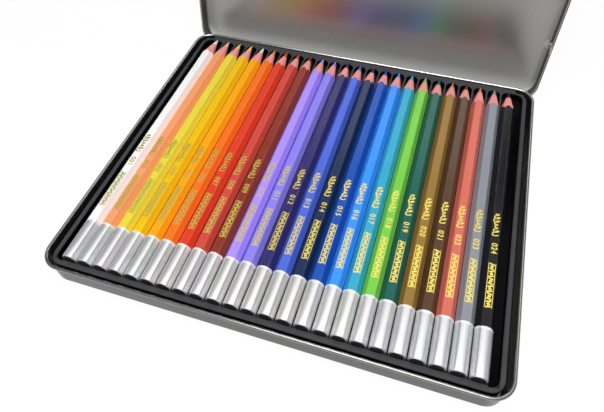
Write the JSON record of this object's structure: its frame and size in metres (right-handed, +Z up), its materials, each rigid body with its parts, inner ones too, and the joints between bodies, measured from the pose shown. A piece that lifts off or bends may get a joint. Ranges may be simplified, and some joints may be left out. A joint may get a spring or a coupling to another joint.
{
  "type": "colored pencil tin",
  "caption": "Flat hinged steel tin, lid open, holding a black formed tray with one row of sharpened hexagonal colouring pencils with silver dipped ends.",
  "frame": {"origin": "middle of the base's flat underside", "axes": "+X along the row of pencils, first colour at -X; +Y towards the hinge and the pencils' points; +Z up"},
  "size_m": [0.2222, 0.233, 0.1902],
  "materials": {
    "tin_steel": "satin tinplate, fine brushed grain outside, bare and softly reflective inside",
    "tray_plastic": "black vacuum-formed sheet, semi-gloss",
    "pin_steel": "bright drawn wire",
    "lacquer_01": "white gloss lacquer over pale pinkish cedar, silver dipped end",
    "lacquer_02": "peach gloss lacquer over pale pinkish cedar, silver dipped end",
    "lacquer_03": "lemon gloss lacquer over pale pinkish cedar, silver dipped end",
    "lacquer_04": "warm yellow gloss lacquer over pale pinkish cedar, silver dipped end",
    "lacquer_05": "golden yellow gloss lacquer over pale pinkish cedar, silver dipped end",
    "lacquer_06": "orange gloss lacquer over pale pinkish cedar, silver dipped end",
    "lacquer_07": "vermilion gloss lacquer over pale pinkish cedar, silver dipped end",
    "lacquer_08": "brick red gloss lacquer over pale pinkish cedar, silver dipped end",
    "lacquer_09": "maroon gloss lacquer over pale pinkish cedar, silver dipped end",
    "lacquer_10": "light violet gloss lacquer over pale pinkish cedar, silver dipped end",
    "lacquer_11": "periwinkle gloss lacquer over pale pinkish cedar, silver dipped end",
    "lacquer_12": "aubergine gloss lacquer over pale pinkish cedar, silver dipped end",
    "lacquer_13": "royal blue gloss lacquer over pale pinkish cedar, silver dipped end",
    "lacquer_14": "indigo slate gloss lacquer over pale pinkish cedar, silver dipped end",
    "lacquer_15": "navy gloss lacquer over pale pinkish cedar, silver dipped end",
    "lacquer_16": "azure gloss lacquer over pale pinkish cedar, silver dipped end",
    "lacquer_17": "turquoise gloss lacquer over pale pinkish cedar, silver dipped end",
    "lacquer_18": "bright green gloss lacquer over pale pinkish cedar, silver dipped end",
    "lacquer_19": "teal green gloss lacquer over pale pinkish cedar, silver dipped end",
    "lacquer_20": "ochre gloss lacquer over pale pinkish cedar, silver dipped end",
    "lacquer_21": "dark brown gloss lacquer over pale pinkish cedar, silver dipped end",
    "lacquer_22": "terracotta gloss lacquer over pale pinkish cedar, silver dipped end",
    "lacquer_23": "blue grey gloss lacquer over pale pinkish cedar, silver dipped end",
    "lacquer_24": "black gloss lacquer over pale pinkish cedar, silver dipped end",
    "core_01": "white waxy pigment core, matte",
    "core_02": "peach waxy pigment core, matte",
    "core_03": "lemon waxy pigment core, matte",
    "core_04": "warm yellow waxy pigment core, matte",
    "core_05": "golden yellow waxy pigment core, matte",
    "core_06": "orange waxy pigment core, matte",
    "core_07": "vermilion waxy pigment core, matte",
    "core_08": "brick red waxy pigment core, matte",
    "core_09": "maroon waxy pigment core, matte",
    "core_10": "light violet waxy pigment core, matte",
    "core_11": "periwinkle waxy pigment core, matte",
    "core_12": "aubergine waxy pigment core, matte",
    "core_13": "royal blue waxy pigment core, matte",
    "core_14": "indigo slate waxy pigment core, matte",
    "core_15": "navy waxy pigment core, matte",
    "core_16": "azure waxy pigment core, matte",
    "core_17": "turquoise waxy pigment core, matte",
    "core_18": "bright green waxy pigment core, matte",
    "core_19": "teal green waxy pigment core, matte",
    "core_20": "ochre waxy pigment core, matte",
    "core_21": "dark brown waxy pigment core, matte",
    "core_22": "terracotta waxy pigment core, matte",
    "core_23": "blue grey waxy pigment core, matte",
    "core_24": "black waxy pigment core, matte"
  },
  "bodies": {
    "base": {"base_tin": "tin_steel", "hinge_pin_left": "pin_steel", "hinge_pin_right": "pin_steel"},
    "lid": {"lid": "tin_steel"},
    "tray": {"tray": "tray_plastic"},
    "pencil_01": {"pencil_01": "lacquer_01", "lead_01": "core_01"},
    "pencil_02": {"pencil_02": "lacquer_02", "lead_02": "core_02"},
    "pencil_03": {"pencil_03": "lacquer_03", "lead_03": "core_03"},
    "pencil_04": {"pencil_04": "lacquer_04", "lead_04": "core_04"},
    "pencil_05": {"pencil_05": "lacquer_05", "lead_05": "core_05"},
    "pencil_06": {"pencil_06": "lacquer_06", "lead_06": "core_06"},
    "pencil_07": {"pencil_07": "lacquer_07", "lead_07": "core_07"},
    "pencil_08": {"pencil_08": "lacquer_08", "lead_08": "core_08"},
    "pencil_09": {"pencil_09": "lacquer_09", "lead_09": "core_09"},
    "pencil_10": {"pencil_10": "lacquer_10", "lead_10": "core_10"},
    "pencil_11": {"pencil_11": "lacquer_11", "lead_11": "core_11"},
    "pencil_12": {"pencil_12": "lacquer_12", "lead_12": "core_12"},
    "pencil_13": {"pencil_13": "lacquer_13", "lead_13": "core_13"},
    "pencil_14": {"pencil_14": "lacquer_14", "lead_14": "core_14"},
    "pencil_15": {"pencil_15": "lacquer_15", "lead_15": "core_15"},
    "pencil_16": {"pencil_16": "lacquer_16", "lead_16": "core_16"},
    "pencil_17": {"pencil_17": "lacquer_17", "lead_17": "core_17"},
    "pencil_18": {"pencil_18": "lacquer_18", "lead_18": "core_18"},
    "pencil_19": {"pencil_19": "lacquer_19", "lead_19": "core_19"},
    "pencil_20": {"pencil_20": "lacquer_20", "lead_20": "core_20"},
    "pencil_21": {"pencil_21": "lacquer_21", "lead_21": "core_21"},
    "pencil_22": {"pencil_22": "lacquer_22", "lead_22": "core_22"},
    "pencil_23": {"pencil_23": "lacquer_23", "lead_23": "core_23"},
    "pencil_24": {"pencil_24": "lacquer_24", "lead_24": "core_24"}
  },
  "joints": [
    {"name": "lid_hinge", "type": "hinge", "parent": "base", "child": "lid", "pos_m": [0, 0.0923, 0.0062], "axis": [-1, 0, 0], "range_deg": [-100.6, 0]},
    {"name": "tray_lift", "type": "slide", "parent": "base", "child": "tray", "axis": [0, 0, 1], "range_m": [0, 0.03]},
    {"name": "pencil_01_lift", "type": "slide", "parent": "tray", "child": "pencil_01", "axis": [0, 0, 1], "range_m": [0, 0.05]},
    {"name": "pencil_02_lift", "type": "slide", "parent": "tray", "child": "pencil_02", "axis": [0, 0, 1], "range_m": [0, 0.05]},
    {"name": "pencil_03_lift", "type": "slide", "parent": "tray", "child": "pencil_03", "axis": [0, 0, 1], "range_m": [0, 0.05]},
    {"name": "pencil_04_lift", "type": "slide", "parent": "tray", "child": "pencil_04", "axis": [0, 0, 1], "range_m": [0, 0.05]},
    {"name": "pencil_05_lift", "type": "slide", "parent": "tray", "child": "pencil_05", "axis": [0, 0, 1], "range_m": [0, 0.05]},
    {"name": "pencil_06_lift", "type": "slide", "parent": "tray", "child": "pencil_06", "axis": [0, 0, 1], "range_m": [0, 0.05]},
    {"name": "pencil_07_lift", "type": "slide", "parent": "tray", "child": "pencil_07", "axis": [0, 0, 1], "range_m": [0, 0.05]},
    {"name": "pencil_08_lift", "type": "slide", "parent": "tray", "child": "pencil_08", "axis": [0, 0, 1], "range_m": [0, 0.05]},
    {"name": "pencil_09_lift", "type": "slide", "parent": "tray", "child": "pencil_09", "axis": [0, 0, 1], "range_m": [0, 0.05]},
    {"name": "pencil_10_lift", "type": "slide", "parent": "tray", "child": "pencil_10", "axis": [0, 0, 1], "range_m": [0, 0.05]},
    {"name": "pencil_11_lift", "type": "slide", "parent": "tray", "child": "pencil_11", "axis": [0, 0, 1], "range_m": [0, 0.05]},
    {"name": "pencil_12_lift", "type": "slide", "parent": "tray", "child": "pencil_12", "axis": [0, 0, 1], "range_m": [0, 0.05]},
    {"name": "pencil_13_lift", "type": "slide", "parent": "tray", "child": "pencil_13", "axis": [0, 0, 1], "range_m": [0, 0.05]},
    {"name": "pencil_14_lift", "type": "slide", "parent": "tray", "child": "pencil_14", "axis": [0, 0, 1], "range_m": [0, 0.05]},
    {"name": "pencil_15_lift", "type": "slide", "parent": "tray", "child": "pencil_15", "axis": [0, 0, 1], "range_m": [0, 0.05]},
    {"name": "pencil_16_lift", "type": "slide", "parent": "tray", "child": "pencil_16", "axis": [0, 0, 1], "range_m": [0, 0.05]},
    {"name": "pencil_17_lift", "type": "slide", "parent": "tray", "child": "pencil_17", "axis": [0, 0, 1], "range_m": [0, 0.05]},
    {"name": "pencil_18_lift", "type": "slide", "parent": "tray", "child": "pencil_18", "axis": [0, 0, 1], "range_m": [0, 0.05]},
    {"name": "pencil_19_lift", "type": "slide", "parent": "tray", "child": "pencil_19", "axis": [0, 0, 1], "range_m": [0, 0.05]},
    {"name": "pencil_20_lift", "type": "slide", "parent": "tray", "child": "pencil_20", "axis": [0, 0, 1], "range_m": [0, 0.05]},
    {"name": "pencil_21_lift", "type": "slide", "parent": "tray", "child": "pencil_21", "axis": [0, 0, 1], "range_m": [0, 0.05]},
    {"name": "pencil_22_lift", "type": "slide", "parent": "tray", "child": "pencil_22", "axis": [0, 0, 1], "range_m": [0, 0.05]},
    {"name": "pencil_23_lift", "type": "slide", "parent": "tray", "child": "pencil_23", "axis": [0, 0, 1], "range_m": [0, 0.05]},
    {"name": "pencil_24_lift", "type": "slide", "parent": "tray", "child": "pencil_24", "axis": [0, 0, 1], "range_m": [0, 0.05]}
  ]
}
